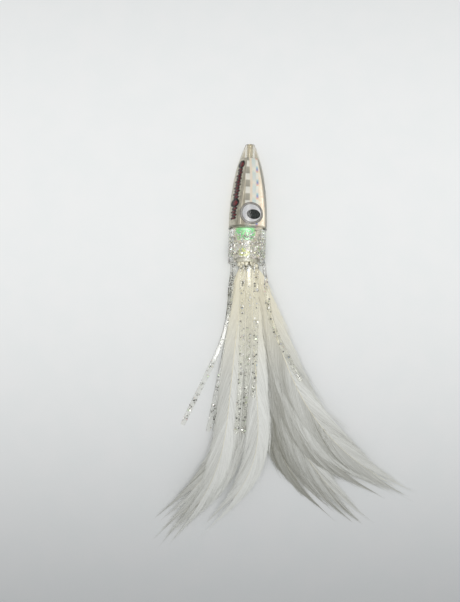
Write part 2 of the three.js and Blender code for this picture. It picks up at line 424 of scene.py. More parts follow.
RESIN = ClearResin()
DOME = ClearResin("eye dome resin", "fbfbfb", 1.03)
VINYL = SoftVinyl()
TUBE_VINYL = SoftVinyl("leader tube vinyl", "f7f5ee", 1.5, mark_strength=0.05)
FOIL = PrismFoil()
FILM = PearlFilm()
GLITTER = GlitterFlake()
BARB = HackleBarb()
SILVER_BACK = Painted("brushed silver film", "b9b6ac", "d8d5cb", 0.3, 0.55, 0.5)
CORE_WHITE = Painted("white insert blank", "dddcd6", "e9e8e3", 0.45)
EYE_WHITE = Painted("pearl eye enamel", "dfe4f4", "f0f3fd", 0.22)
EYE_RIM = Painted("moulded eye bezel", "a9a8aa", "bdbdc0", 0.25)
EYE_LINE = Painted("eye outline print", "34322f", "42403d", 0.35)
EYE_BLACK = Painted("black pupil enamel", "1b2022", "262c2d", 0.22)
DECAL_RED = Painted("dark red print", "6b0a18", "7d1020", 0.6)
DECAL_BLACK = Painted("black print", "07060c", "0d0b14", 0.6)
THREAD = Painted("waxed whipping thread", "d9d6c9", "ece9dc", 0.5, grains_per_mm=2.5)
QUILL = Painted("bare quill", "f0ead2", "faf6e6", 0.4)
PAPER = Painted("pale studio paper", "eceeee", "eeefef", 0.75, grains_per_mm=0.06)


# ---------------------------------------------------------------- making meshes


def set_smooth(mesh: Mesh, smooth: bool = True) -> None:
    """Shade every face of a mesh smooth or flat."""
    for polygon in mesh.polygons:
        polygon.use_smooth = smooth


def mesh_of(
    name: str,
    points: np.ndarray | Sequence[Sequence[float]],
    faces: Sequence[Sequence[int]],
    edges: Sequence[Sequence[int]] = (),
) -> Mesh:
    """Make a smooth-shaded mesh.

    Args:
        name: The mesh's name.
        points: Corner places in millimetres.
        faces: Corner numbers of each face.
        edges: Loose edges, for a profile.

    Returns:
        The mesh, in metres.
    """
    mesh = bpy.data.meshes.new(name)
    mesh.from_pydata((np.array(points, dtype=float) * MM).tolist(), list(edges), list(faces))
    mesh.validate()
    set_smooth(mesh)
    return mesh


def new_piece(name: str, mesh: Mesh) -> Piece:
    """Put a mesh into the scene as a piece.

    Args:
        name: The piece's name.
        mesh: Its mesh.

    Returns:
        The piece, at the origin.
    """
    piece = bpy.data.objects.new(name, mesh)
    bpy.context.scene.collection.objects.link(piece)
    return piece


def add_modifier(piece: Piece, kind: str, **settings: object) -> None:
    """Add one modifier to a piece's stack.

    Args:
        piece: The piece.
        kind: The modifier's type.
        settings: Its properties.
    """
    made = piece.modifiers.new(kind.lower(), kind)
    for name, value in settings.items():
        setattr(made, name, value)


def settle(piece: Piece, place: Matrix | None = None) -> None:
    """Apply a piece's modifier stack, and then its place.

    Args:
        piece: The piece, at the origin.
        place: Where its mesh goes.
    """
    graph = bpy.context.evaluated_depsgraph_get()
    made = bpy.data.meshes.new_from_object(
        piece.evaluated_get(graph), preserve_all_data_layers=True, depsgraph=graph
    )
    piece.modifiers.clear()
    old = piece.data
    piece.data = made
    bpy.data.meshes.remove(old)
    if place is not None:
        made.transform(place)
    set_smooth(made)
    made.update()


def outward(piece: Piece) -> None:
    """Merge a closed piece's doubles and turn its faces outwards.

    Args:
        piece: The piece.
    """
    work = bmesh.new()
    work.from_mesh(piece.data)
    bmesh.ops.remove_doubles(work, verts=work.verts, dist=MERGE)
    bmesh.ops.recalc_face_normals(work, faces=work.faces)
    work.to_mesh(piece.data)
    work.free()
    piece.data.update()


def rounded(points: Sequence[Point], corner: float, steps: int = 3) -> list[Point]:
    """Round the corners of an open or closed outline.

    Args:
        points: Radius and height pairs.
        corner: How far from each corner the rounding starts.
        steps: Stretches along each rounding.

    Returns:
        The rounded outline.
    """
    made: list[Point] = []
    closed = points[0] == points[-1]
    ring = list(points[:-1]) if closed else list(points)
    for i, here in enumerate(ring):
        if not closed and i in (0, len(ring) - 1):
            made.append(here)
            continue
        before, after, spot = Vector(ring[i - 1]), Vector(ring[(i + 1) % len(ring)]), Vector(here)
        into, out = before - spot, after - spot
        reach = min(corner, into.length * 0.45, out.length * 0.45)
        start, end = spot + into.normalized() * reach, spot + out.normalized() * reach
        for t in np.linspace(0, 1, steps + 1).tolist():
            made.append(tuple(start * (1 - t) ** 2 + spot * 2 * t * (1 - t) + end * t * t))
    return [*made, made[0]] if closed else made


def smoothed(points: Sequence[Point], steps: int) -> list[Point]:
    """Draw a smooth curve through points.

    Args:
        points: Pairs that the curve passes.
        steps: Points between each two of them.

    Returns:
        The curve.
    """
    made: list[Point] = []
    held = np.array([points[0], *points, points[-1]])
    for a, b, c, d in zip(held, held[1:], held[2:], held[3:]):
        for t in np.arange(steps) / steps:
            bend = (2 * a - 5 * b + 4 * c - d) * t**2 + (3 * b - a - 3 * c + d) * t**3
            made.append(tuple((0.5 * (2 * b + (c - a) * t + bend)).tolist()))
    return [*made, points[-1]]


def turned(name: str, profile: Sequence[Point], steps: int) -> Piece:
    """Turn a profile about the Z axis with a screw modifier.

    Args:
        name: The piece's name.
        profile: Radius and height pairs.
        steps: Steps of the turn.

    Returns:
        The piece, at the origin, with its stack applied.
    """
    points = [(radius, 0.0, height) for radius, height in profile]
    edges = [(i, i + 1) for i in range(len(points) - 1)]
    piece = new_piece(name, mesh_of(name, points, (), edges))
    add_modifier(
        piece,
        "SCREW",
        axis="Z",
        steps=steps,
        render_steps=steps,
        use_merge_vertices=True,
        merge_threshold=MERGE,
        use_smooth_shade=True,
    )
    settle(piece)
    outward(piece)
    return piece


def sheet_faces(rows: int, width: int, first: int = 0) -> list[list[int]]:
    """Join rows of points into the four-sided faces of an open sheet.

    Args:
        rows: How many rows there are.
        width: Points in each row.
        first: The first point's number.

    Returns:
        The corner numbers of each face.
    """
    starts = [first + row * width + i for row in range(rows - 1) for i in range(width - 1)]
    return [[at, at + width, at + width + 1, at + 1] for at in starts]


def tube_faces(rings: int, width: int, first: int = 0) -> list[list[int]]:
    """Join rings of points into the faces of a tube with closed ends.

    Args:
        rings: How many rings there are.
        width: Points in each ring.
        first: The first point's number.

    Returns:
        The corner numbers of each face.
    """
    faces = sheet_faces(rings, width, first)
    for start in range(first, first + (rings - 1) * width, width):
        last = start + width - 1
        faces.append([last, last + width, start + width, start])
    for start in (first, first + (rings - 1) * width):
        faces.append(list(range(start, start + width)))
    return faces


def add_map(mesh: Mesh, name: str, flat: Sequence[Point]) -> None:
    """Store a flat place for each point as the piece's own map.

    Args:
        mesh: The piece's mesh.
        name: The map's name.
        flat: The places, in the order of the points.
    """
    layer = mesh.uv_layers.new(name=name)
    for loop in mesh.loops:
        layer.data[loop.index].uv = flat[loop.vertex_index]


def add_values(mesh: Mesh, name: str, values: np.ndarray) -> None:
    """Store a number for each point as the piece's own attribute."""
    made = mesh.attributes.new(name, "FLOAT", "POINT")
    made.data.foreach_set("value", np.asarray(values, np.float32))


def eased(value: float | np.ndarray) -> float | np.ndarray:
    """Ease a share from 0 to 1."""
    share = np.clip(value, 0.0, 1.0)
    return share * share * (3 - 2 * share)


def dress(piece: Piece, finish: Finish) -> None:
    """Give a whole piece one finish."""
    piece.data.materials.clear()
    piece.data.materials.append(finish.material())


def finish_piece(piece: Piece, finish: Finish, slot: str, *nodes: str) -> None:
    """Dress a piece of the lure, say which nodes it takes the place of, and report it.

    Args:
        piece: The piece.
        finish: What it wears.
        slot: The record's slot that it belongs to; not used.
        nodes: The nodes that it takes the place of.
    """
    dress(piece, finish)
    if nodes:
        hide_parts(*nodes)
    LOG.info("%s: %d faces", piece.name, len(piece.data.polygons))


def fix_to_head(piece: Piece, finish: Finish, slot: str, *nodes: str) -> None:
    """Finish a piece that moves with the head."""
    finish_piece(piece, finish, slot, *nodes)
    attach(piece, "head")


# ---------------------------------------------------------------- the head's own axis


@dataclass(frozen=True)
class HeadAxis:
    """The head's axis, found from the part's mounts. Stations run forward from the rear rim."""

    rim: Vector
    forward: Vector
    up: Vector
    nose_station: float = 43.4
    nose_mount_radius: float = 2.08

    @classmethod
    def found(cls) -> "HeadAxis":
        """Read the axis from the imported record.

        Returns:
            The axis.
        """
        mounts = {m["name"]: m for m in frame["record"]["mounts"]}
        nose = mounts["nose_face"]
        forward = Vector(nose["axis"]).normalized()
        across = forward.cross(Vector((0, 0, 1))).normalized()
        up = across.cross(forward)
        rim = Vector(nose["pos_m"]) / MM - forward * cls.nose_station - up * cls.nose_mount_radius
        return cls(rim, forward, up)

    def matrix(self, roll: float = 0.0) -> Matrix:
        """Place a shape turned about Z on the axis.

        Args:
            roll: Degrees that the shape's +Y side leans from up towards +X.

        Returns:
            The placing matrix, in metres: Z runs forward and Y points up.
        """
        across = self.up.cross(self.forward)
        turn = Matrix((across, self.up, self.forward)).transposed().to_4x4()
        spin = Matrix.Rotation(math.radians(roll), 4, "Z")
        return Matrix.Translation(self.rim * MM) @ turn @ spin

    def point(self, station: float, angle: float, radius: float) -> Vector:
        """Find a place round the axis.

        Args:
            station: How far forward of the rim it is.
            angle: Degrees from up towards +X.
            radius: How far from the axis it is.

        Returns:
            The place.
        """
        across = self.forward.cross(self.up)
        turn = math.radians(angle)
        side = self.up * math.cos(turn) + across * math.sin(turn)
        return self.rim + self.forward * station + side * radius


# ---------------------------------------------------------------- glitter


@dataclass
class Glitter:
    """Hexagonal flakes scattered through a clear piece."""

    seed: int
    small: float = 0.22
    large: float = 0.5
    places: list[Vector] = field(default_factory=list)
    normals: list[Vector] = field(default_factory=list)

    def add(self, place: Vector, normal: Vector) -> None:
        """Add one flake at a place, facing roughly along a normal."""
        self.places.append(place)
        self.normals.append(normal.normalized())

    def mesh(self, name: str, tilt: float, bright: float) -> Mesh:
        """Make the flakes.

        Args:
            name: The mesh's name.
            tilt: How far a flake leans from its normal, as a share of one.
            bright: Power on each flake's painted flash: below one makes more of them bright.

        Returns:
            One mesh of loose six-sided flakes.
        """
        chance = random.Random(self.seed)
        points: list[Vector] = []
        painted_flash_tones: list[float] = []
        for place, normal in zip(self.places, self.normals, strict=True):
            lean = Vector([chance.uniform(-1, 1) for _ in range(3)]) * tilt
            face = (normal + lean).normalized()
            along = face.orthogonal().normalized()
            along.rotate(Matrix.Rotation(chance.uniform(0, math.tau), 3, face))
            side = face.cross(along)
            size = chance.uniform(self.small, self.large)
            for corner in range(6):
                turn = corner * math.tau / 6
                points.append(place + along * math.cos(turn) * size + side * math.sin(turn) * size)
            # A random value per flake picks its painted flash.
            painted_flash_tones += [chance.random() ** bright] * 6
        mesh = mesh_of(name, points, [list(range(i, i + 6)) for i in range(0, len(points), 6)])
        set_smooth(mesh, False)
        add_values(mesh, "tone_and_painted_light", np.array(painted_flash_tones))
        return mesh


# ---------------------------------------------------------------- the head


@dataclass
class BulletHead:
    """The clear head with its insert, foils, decal, eyes and leader tube."""

    axis: HeadAxis
    outline: tuple[Point, ...] = (
        (43.4, 2.3),
        (40.3, 3.55),
        (36.2, 5.0),
        (30.1, 6.75),
        (22.6, 8.15),
        (15.0, 9.1),
        (8.4, 9.55),
        (3.0, 9.7),
        (0.0, 9.75),
    )
    edge_round: float = 0.35
    spigot_radius: float = 6.5
    spigot_end: float = -12.0
    post_radius: float = 3.3
    post_end: float = -18.0
    bore_radius: float = 1.62
    tube_outer: float = 1.5
    tube_inner: float = 1.0
    tube_end: float = -19.4
    insert_roll: float = 23.0
    insert: tuple[Spot, ...] = (
        (0.9, 6.05, 4.1),
        (7.0, 6.0, 4.1),
        (14.5, 5.15, 4.15),
        (22.5, 4.25, 4.05),
        (30.0, 3.05, 3.15),
        (35.8, 2.15, 2.2),
    )
    insert_bore: float = 1.75
    insert_bevel: float = 0.12
    sheet_offset: float = 0.42
    sheet_overlap: float = 0.1
    sheet_thickness: float = 0.15
    ink_thickness: float = 0.02
    decal_start: float = 34.4
    big_share: float = 0.74
    small_share: float = 0.5
    lozenges: tuple[float, ...] = (4.0, *[1.58] * 10, 4.2, *[1.58] * 4)
    eye_station: float = 7.2
    eye_radius: float = 5.3
    eye_bevel: float = 0.8
    eye_aside: float = 0.9
    outline_width: float = 0.11
    dome_rise: float = 0.85
    pupil_radius: float = 2.7
    pupil_oval: Point = (1.14, 0.88)
    pupil_shift: Point = (-1.05, 0.5)

    def build(self) -> None:
        """Make and dress every piece of the head."""
        self.make_casting()
        self.make_core()
        self.make_faces()
        self.make_decal()
        self.make_eye("right", self.insert_roll)
        self.make_eye("left", self.insert_roll + 180)
        self.make_tube()

    def make_casting(self) -> None:
        """Turn the clear casting, with its through bore."""
        nose = [(radius, station) for station, radius in smoothed(self.outline, 8)]
        rear = [
            (self.spigot_radius, 0.0),
            (self.spigot_radius, self.spigot_end),
            (self.post_radius, self.spigot_end),
            (self.post_radius, self.post_end),
            (self.bore_radius, self.post_end),
            (self.bore_radius, nose[0][1]),
        ]
        ends = rounded([*nose[-2:], *rear, *nose[:2]], self.edge_round, 4)
        profile = nose[1:-2] + ends
        piece = turned("clear_head", [*profile, profile[0]], 128)
        settle(piece, self.axis.matrix())
        fix_to_head(piece, RESIN, "head_resin", "head_body")

    def half_sizes(self, station: float) -> Point:
        """Find the insert's half width and half depth at a station.

        Args:
            station: How far forward of the rim it is.

        Returns:
            Half the width and half the depth.
        """
        stations, widths, depths = zip(*self.insert)
        return float(np.interp(station, stations, widths)), float(np.interp(station, stations, depths))

    def make_core(self) -> None:
        """Build the four-sided blank with its bore, and bevel its edges."""
        stations = np.linspace(self.insert[0][0], self.insert[-1][0], 24).tolist()
        sides = [(1, 0), (1, 1), (0, 1), (-1, 1), (-1, 0), (-1, -1), (0, -1), (1, -1)]
        points: list[Spot] = []
        faces: list[list[int]] = []
        for station in stations:
            wide, deep = self.half_sizes(station)
            points += [(x * wide, y * deep, station) for x, y in sides]
            for turn in range(8):
                angle, bore = turn * math.tau / 8, self.insert_bore
                points.append((math.cos(angle) * bore, math.sin(angle) * bore, station))
        last = 16 * (len(stations) - 1)
        for turn in range(8):
            after = (turn + 1) % 8
            for a in range(0, last, 16):
                b = a + 16
                faces.append([a + turn, a + after, b + after, b + turn])
                faces.append([a + 8 + after, a + 8 + turn, b + 8 + turn, b + 8 + after])
            for a in (0, last):
                faces.append([a + turn, a + after, a + 8 + after, a + 8 + turn])
        piece = new_piece("insert_blank", mesh_of("insert_blank", points, faces))
        outward(piece)
        width = self.insert_bevel * MM
        limit = math.radians(40)
        add_modifier(piece, "BEVEL", width=width, segments=2, limit_method="ANGLE", angle_limit=limit)
        settle(piece, self.axis.matrix(self.insert_roll))
        fix_to_head(piece, CORE_WHITE, "insert_white", "insert_core")

    def face_sheet(self, name: str, roll: float, flank: bool) -> Piece:
        """Make one face's sheet over the blank.

        Args:
            name: The piece's name.
            roll: The face's angle from up, in degrees.
            flank: Whether it lies on a wide face or on a narrow one.

        Returns:
            The piece, with a map in millimetres across and along.
        """
        stations = np.linspace(self.insert[0][0], self.insert[-1][0], 40).tolist()
        shares = np.linspace(-1, 1, 13).tolist()
        points: list[Spot] = []
        for station in stations:
            wide, deep = self.half_sizes(station)
            half, away = (wide, deep) if flank else (deep, wide)
            for share in shares:
                points.append((share * (half + self.sheet_overlap), away + self.sheet_offset, station))
        piece = new_piece(name, mesh_of(name, points, sheet_faces(len(stations), len(shares))))
        add_map(piece.data, "flat_mm", [(side, station) for side, _, station in points])
        add_modifier(piece, "SOLIDIFY", thickness=self.sheet_thickness * MM, offset=-1.0)
        settle(piece, self.axis.matrix(roll))
        outward(piece)
        return piece

    def make_faces(self) -> None:
        """Lay the four sheets on the blank."""
        faces = (
            ("foil_flank_right", 0, FOIL, "foil", "flank_foil_right"),
            ("foil_flank_left", 180, FOIL, "foil", "flank_foil_left"),
            ("foil_belly", 90, SILVER_BACK, "belly_foil", "belly_foil"),
            ("back_film", -90, SILVER_BACK, "decal", "back_strip"),
        )
        for name, roll, finish, slot, node in faces:
            piece = self.face_sheet(name, self.insert_roll + roll, flank=roll in (0, 180))
            fix_to_head(piece, finish, slot, node)

    def make_decal(self) -> None:
        """Print a plain row of lozenges on the back film: dark red on one black band with waved edges."""
        swells = (0.0, 0.55, 0.9, 1.0, 0.9, 0.55)
        band: list[Spot] = []
        red: list[Spot] = []
        station = self.decal_start
        for number, length in enumerate(self.lozenges):
            small = length < 2
            middle = station - length / 2
            deep = self.half_sizes(middle)[1]
            share = self.small_share if small else self.big_share
            sway = (0.07 if number % 2 else -0.07) * deep if small else 0.0
            for step, swell in enumerate(swells):
                spot = station - length * step / len(swells)
                wide, half = self.half_sizes(spot)
                half *= share * (0.45 + 0.55 * swell)
                away = wide + self.sheet_offset + 0.03
                band += [(sway * swell - half, away, spot), (sway * swell + half, away, spot)]
            for corner in range(12):
                turn = corner * math.tau / 12
                sharp = 1.0 if corner % 3 == 0 else 0.86
                side = sway + math.sin(turn) * deep * share * 0.6 * sharp
                along = middle + math.cos(turn) * length * 0.36 * sharp
                red.append((side, self.half_sizes(along)[0] + self.sheet_offset + 0.07, along))
            station -= length
        dots = [list(range(i, i + 12)) for i in range(0, len(red), 12)]
        for name, finish, points, faces in (
            ("lozenges_black", DECAL_BLACK, band, sheet_faces(len(band) // 2, 2)),
            ("lozenges_red", DECAL_RED, red, dots),
        ):
            piece = new_piece(name, mesh_of(name, points, faces))
            add_modifier(piece, "SOLIDIFY", thickness=self.ink_thickness * MM, offset=0.0)
            settle(piece, self.axis.matrix(self.insert_roll - 90))
            outward(piece)
            fix_to_head(piece, finish, "decal")

    def make_eye(self, name: str, roll: float) -> None:
        """Build one domed eye: dished cup with its rim, pupil and clear dome.

        Args:
            name: Which side it is on.
            roll: The flank's angle from up, in degrees.
        """
        seat = self.half_sizes(self.eye_station)[1] + self.sheet_offset + 0.03
        spot = Matrix.Translation(Vector((self.eye_aside, seat, self.eye_station)) * MM)
        place = self.axis.matrix(roll) @ spot @ Matrix.Rotation(math.radians(-90), 4, "X")
        radius, flat = self.eye_radius, self.eye_radius - self.eye_bevel
        pupil = self.pupil_radius
        ring = [(math.cos(t), math.sin(t)) for t in np.linspace(math.pi / 2, -math.pi * 1.5, 9)]
        ring[-1] = ring[0]
        outer, inner = (
            [(at + self.outline_width * x, height + self.outline_width * y) for x, y in ring]
            for at, height in ((radius, 0.5), (flat, 0.72))
        )
        arch = [
            ((radius - 0.25) * math.sin(t), 1.0 + self.dome_rise * math.cos(t))
            for t in np.linspace(0, math.pi / 2, 10)
        ]
        cup = ((0.0, 0.3), (radius * 0.6, 0.34), (flat, 0.6), (flat, 0.0), (0.0, 0.0))
        rim = ((flat, 0.0), (flat, 0.72), (radius, 0.5), (radius, 0.0), (flat, 0.0))
        disc = ((0.0, 0.95), (pupil * 0.7, 0.9), (pupil, 0.7), (pupil, 0.5), (0.0, 0.5))
        parts = (
            ("white", rounded(cup, 0.15), EYE_WHITE, "eye_white", ["cup"]),
            ("rim", rounded(rim, 0.15), EYE_RIM, "eye_white", []),
            ("line_outer", outer, EYE_LINE, "eye_white", []),
            ("line_inner", inner, EYE_LINE, "eye_white", []),
            ("black", rounded(disc, 0.1), EYE_BLACK, "eye_black", ["pupil"]),
            ("dome", [*arch, (0.0, 1.0)], DOME, "eye_clear", ["lens"]),
        )
        for label, profile, finish, slot, nodes in parts:
            piece = turned(f"eye_{label}_{name}", profile, 64)
            if finish is EYE_BLACK:
                piece.data.transform(Matrix.Diagonal((*self.pupil_oval, 1, 1)))
                piece.data.transform(Matrix.Translation(Vector((*self.pupil_shift, 0)) * MM))
            settle(piece, place)
            fix_to_head(piece, finish, slot, *(f"eye_{node}_{name}" for node in nodes))

    def make_tube(self) -> None:
        """Turn the leader tube."""
        front = self.outline[0][0]
        rows = [
            (self.tube_outer, front),
            (self.tube_outer, self.tube_end),
            (self.tube_inner, self.tube_end),
            (self.tube_inner, front),
            (self.tube_outer, front),
        ]
        piece = turned("clear_leader_tube", rounded(rows, 0.1), 48)
        settle(piece, self.axis.matrix())
        fix_to_head(piece, TUBE_VINYL, "tube_clear", "leader_tube")


# ---------------------------------------------------------------- the collar and hood


@dataclass
class Collar:
    """Film wrap, quill butts, whipping and the skirt's hood."""

    axis: HeadAxis
    film_radius: float = 6.95
    film_wall: float = 0.25
    film_front: float = -0.4
    film_rear: float = -14.8
    green_patches: tuple[Point, ...] = ((-10.0, 44.0), (95.0, 24.0), (168.0, 26.0), (-110.0, 22.0))
    quills: int = 11
    quill_circle: float = 4.15
    quill_front: float = -12.7
    quill_rear: float = -19.0
    quill_halves: Point = (0.5, 0.95)
    thread_inner: float = 5.0
    thread_outer: float = 5.22
    thread_rib: float = 0.16
    thread_front: float = -13.0
    thread_rear: float = -17.0
    thread_turns: int = 14
    hood_front: float = -0.6
    hood_rear: float = -17.5
    hood_outer: float = 9.4
    hood_inner: float = 7.25
    lip_inner: float = 8.4
    lip_front: float = -14.0
    step_rear: float = -12.0
    flakes: int = 1900

    def build(self) -> None:
        """Make and dress every piece of the collar."""
        self.make_film()
        self.make_butts()
        self.make_thread()
        self.make_hood()
        self.make_glitter()

    def make_film(self) -> None:
        """Wrap the film, with the patches of its iridescence stored as attributes."""
        outer = [(self.film_radius, s) for s in np.linspace(self.film_front, self.film_rear, 22).tolist()]
        inner = [(radius - self.film_wall, station) for radius, station in (outer[-1], outer[0])]
        piece = turned("film_wrap", [*outer, *inner, outer[0]], 96)
        spots = np.array([vertex.co[:] for vertex in piece.data.vertices]) / MM
        # The placing matrix turns +X to the left and +Y up.
        angle = np.degrees(np.arctan2(-spots[:, 0], spots[:, 1]))
        station = spots[:, 2]
        green = np.zeros(len(spots))
        for middle, spread in self.green_patches:
            apart = (angle - middle + 180) % 360 - 180
            green = np.maximum(green, np.exp(-((apart / spread) ** 2)))
        green *= eased((station + 8.6) / 3.6)
        apart = (angle + 11 + 180) % 360 - 180
        lime = 1.15 * np.exp(-((apart / 24) ** 2)) * np.exp(-(((station + 12.4) / 2.4) ** 2))
        add_values(piece.data, "green", green)
        add_values(piece.data, "lime", lime)
        settle(piece, self.axis.matrix())
        fix_to_head(piece, FILM, "pearl_film", "pearl_wrap")

    def make_butts(self) -> None:
        """Set the feathers' quill butts round the post."""
        rings, sides = 8, 8
        thick, wide = self.quill_halves
        points: list[Vector] = []
        faces: list[list[int]] = []
        for quill in range(self.quills):
            angle = 360 * quill / self.quills
            faces += tube_faces(rings, sides, len(points))
            for station in np.linspace(self.quill_front, self.quill_rear, rings).tolist():
                centre = self.axis.point(station, angle, self.quill_circle)
                out = (centre - self.axis.point(station, angle, 0)).normalized()
                side = out.cross(self.axis.forward).normalized()
                for corner in range(sides):
                    turn = corner * math.tau / sides
                    points.append(centre + out * math.cos(turn) * thick + side * math.sin(turn) * wide)
        piece = new_piece("tied_quills", mesh_of("tied_quills", points, faces))
        outward(piece)
        add_modifier(piece, "SUBSURF", levels=1, render_levels=1)
        settle(piece)
        fix_to_head(piece, QUILL, "quill_cream", "quill_butts")

    def make_thread(self) -> None:
        """Wind the whipping as one turned sleeve of round ribs."""
        pitch = (self.thread_front - self.thread_rear) / self.thread_turns
        rows: list[Point] = [(self.thread_inner, self.thread_front)]
        for turn in range(self.thread_turns):
            for share in (np.arange(6) / 6).tolist():
                bulge = self.thread_rib * math.sin(share * math.pi)
                rows.append((self.thread_outer + bulge, self.thread_front - (turn + share) * pitch))
        rows += [(self.thread_outer, self.thread_rear), (self.thread_inner, self.thread_rear), rows[0]]
        piece = turned("thread_whipping", rows, 64)
        settle(piece, self.axis.matrix())
        fix_to_head(piece, THREAD, "thread", "whipping_thread")

    def make_hood(self) -> None:
        """Turn the clear hood."""
        rows = [
            (self.hood_outer, self.hood_front),
            (self.hood_outer, self.hood_rear),
            (self.lip_inner, self.hood_rear),
            (self.lip_inner, self.lip_front),
            (self.hood_inner, self.step_rear),
            (self.hood_inner, self.hood_front),
            (self.hood_outer, self.hood_front),
        ]
        piece = turned("clear_hood", rounded(rows, 0.3), 96)
        settle(piece, self.axis.matrix())
        fix_to_head(piece, VINYL, "skirt_vinyl", "skirt_hood")

    def make_glitter(self) -> None:
        """Scatter glitter through the hood's wall, densest halfway and sparse where the legs begin."""
        chance = random.Random(11)
        glitter = Glitter(12)
        for _ in range(self.flakes):
            along = chance.betavariate(1.9, 1.9)
            station = self.hood_front - 0.4 - along * (self.hood_front - self.hood_rear - 0.8)
            inner = self.hood_inner if station > self.step_rear else self.lip_inner
            radius = chance.uniform(inner + 0.15, self.hood_outer - 0.12)
            angle = chance.uniform(0, 360)
            place = self.axis.point(station, angle, radius)
            glitter.add(place, place - self.axis.point(station, angle, 0))
        piece = new_piece("hood_glitter", glitter.mesh("hood_glitter", 0.75, 0.6))
        fix_to_head(piece, GLITTER, "skirt_vinyl")


# ---------------------------------------------------------------- strands


class Run(Enum):
    """How a strand comes down: where its fall ends, and where it sags to the floor."""

    LEG = (29.0, 50.0, 90.0)
    CENTRE_LEG = (62.0, 200.0, 230.0)
    LEFT = (45.0, 112.0, 145.0)
    RIGHT = (45.0, 92.0, 125.0)


@dataclass(frozen=True)
class Strand:
    """One leg or feather: its route from the root, with its headings in degrees."""

    name: str
    run: Run
    start_x: float
    root: float
    layer: float
    end: float
    length: float
    first: float
    last: float
    turn_start: float
    turn_end: float
    width: float = 2.6

    def headings(self, shares: np.ndarray) -> np.ndarray:
        """The headings at shares of the length, in radians from straight back."""
        turn = eased((shares - self.turn_start) / (self.turn_end - self.turn_start))
        return np.radians(self.first + (self.last - self.first) * turn)


LEGS: dict[str, tuple[Strand, ...]] = {
    "skirt_left": (
        Strand("left_outer", Run.LEG, -8.3, 13.6, 3.2, 0.3, 86.5, -4, -26, 0.15, 0.6),
        Strand("left_1", Run.LEG, -8.9, 11, 2.2, 2.2, 85.5, -2, -12, 0.2, 0.6),
        Strand("left_2", Run.LEG, -8.2, 8.3, 1.25, 1.25, 85.5, 0, -12, 0.25, 0.7),
        Strand("left_3", Run.LEG, -7, 6, 0.3, 0.3, 82, -1, -12, 0.2, 0.6),
        Strand("under_1", Run.LEG, -3.9, 3.4, 0.3, 0.3, 80, 0, -8, 0.2, 0.6),
        Strand("under_2", Run.LEG, -0.9, 2.7, 0.3, 0.3, 82, 0, -5, 0.2, 0.6),
    ),
    "skirt_right": (
        Strand("under_3", Run.LEG, 1.4, 3.7, 1.25, 1.25, 82, 1, 7, 0.2, 0.6),
        Strand("under_4", Run.LEG, 4.3, 4.4, 1.25, 1.25, 82, 2, 12, 0.2, 0.6),
        Strand("right_1", Run.CENTRE_LEG, 8.3, 13.6, 7.1, 7.1, 62, 3, 29, 0.1, 0.75),
        Strand("right_2", Run.LEG, 7.2, 7.4, 0.3, 0.3, 88, 2, 17, 0.1, 0.6),
    ),
    "skirt_centre": (
        Strand("centre_1", Run.CENTRE_LEG, -3.4, 18.6, 8.9, 8.9, 84.5, 0, -5, 0.3, 0.9),
        Strand("centre_2", Run.CENTRE_LEG, 0, 19.4, 8.9, 8.9, 84.5, 0, -5, 0.3, 0.9),
        Strand("centre_3", Run.CENTRE_LEG, 3.5, 18.6, 8.9, 8.9, 66, 0, -5, 0.38, 1.15),
    ),
}

FEATHERS: dict[str, tuple[Strand, ...]] = {
    "hackles_left": (
        Strand("left_1", Run.LEFT, -4.26, 11.9, 6.3, 0.3, 148, -1, -40, 0.4, 0.9, 12),
        Strand("left_2", Run.LEFT, -4.03, 12.8, 6.8, 0.8, 146, -1, -44, 0.35, 0.95, 12),
        Strand("left_3", Run.LEFT, -3.57, 13.7, 7.3, 1.3, 137, -1, -48, 0.35, 0.95, 11),
        Strand("left_4", Run.LEFT, -2.76, 14.6, 7.8, 1.8, 140, -6, -38, 0.5, 1, 11),
        Strand("left_5", Run.LEFT, 0.9, 15.5, 8.3, 2.3, 138, 3, -42, 0.5, 0.95, 11),
    ),
    "hackles_right": (
        Strand("right_1", Run.RIGHT, -0.9, 7.1, 3.2, 0.3, 130, 9, 52, 0.5, 1.1, 12),
        Strand("right_2", Run.RIGHT, -2.5, 7.8, 3.7, 0.8, 140, 12, 51, 0.33, 1.1, 12),
        Strand("right_3", Run.RIGHT, 3.3, 8.6, 4.2, 1.3, 142.5, 10, 56, 0.2, 1.25, 13),
        Strand("right_4", Run.RIGHT, 3.86, 9.4, 4.7, 1.8, 134.5, 13.5, 62, 0.37, 1, 13),
        Strand("right_5", Run.RIGHT, 4.15, 10.2, 5.2, 2.3, 136.5, 15.5, 61.5, 0.33, 0.97, 12),
        Strand("right_6", Run.RIGHT, 4.28, 10.9, 5.7, 2.8, 141, 17, 64, 0.19, 1.1, 13),
    ),
}

PIVOT = 17.0


def strand_origin() -> Vector:
    """Find where the strands' sizes are counted from: in front of the hinge axis, on the floor."""
    hinge = frame["record"]["behaviour"]["joints"][0]["pos_m"]
    return Vector((hinge[0] / MM, hinge[1] / MM + PIVOT, 0))


def bend_from_head(piece: Piece) -> None:
    """Bake a strand piece's place into its mesh.

    Args:
        piece: The piece.
    """
    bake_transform(piece)


